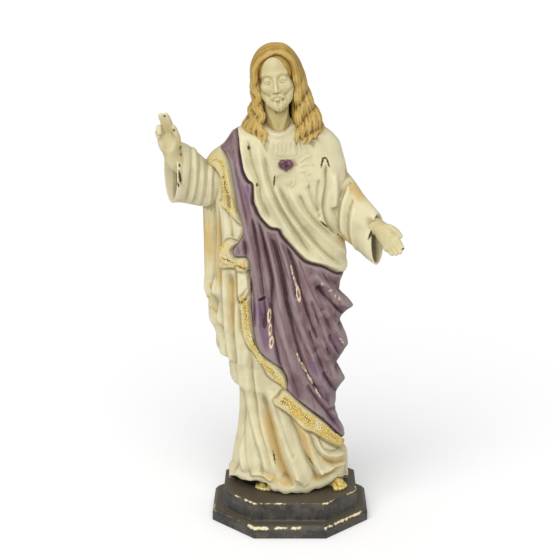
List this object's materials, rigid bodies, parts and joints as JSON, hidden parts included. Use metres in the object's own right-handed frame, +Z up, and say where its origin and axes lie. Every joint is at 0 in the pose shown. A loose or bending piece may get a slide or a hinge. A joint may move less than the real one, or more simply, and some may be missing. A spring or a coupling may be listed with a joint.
{
  "type": "sacred heart statue",
  "caption": "Robed standing figure with one hand raised in blessing and one held out, a small heart in relief on its breast, on a two-tier octagonal plinth.",
  "frame": {"origin": "centre of the plinth's flat underside", "axes": "+Z up through the figure; the figure faces -Y; +X is on the right of a viewer who faces it"},
  "size_m": [0.2921, 0.1914, 0.6003],
  "materials": {
    "painted_plaster": "old matt oil paint on cast plaster, cream, dull purple and yellow gold, chipped",
    "black_paint": "worn black paint on cast plaster, chipped to cream at the edges"
  },
  "bodies": {
    "root": {"figure": "painted_plaster", "plinth": "black_paint"}
  },
  "joints": []
}
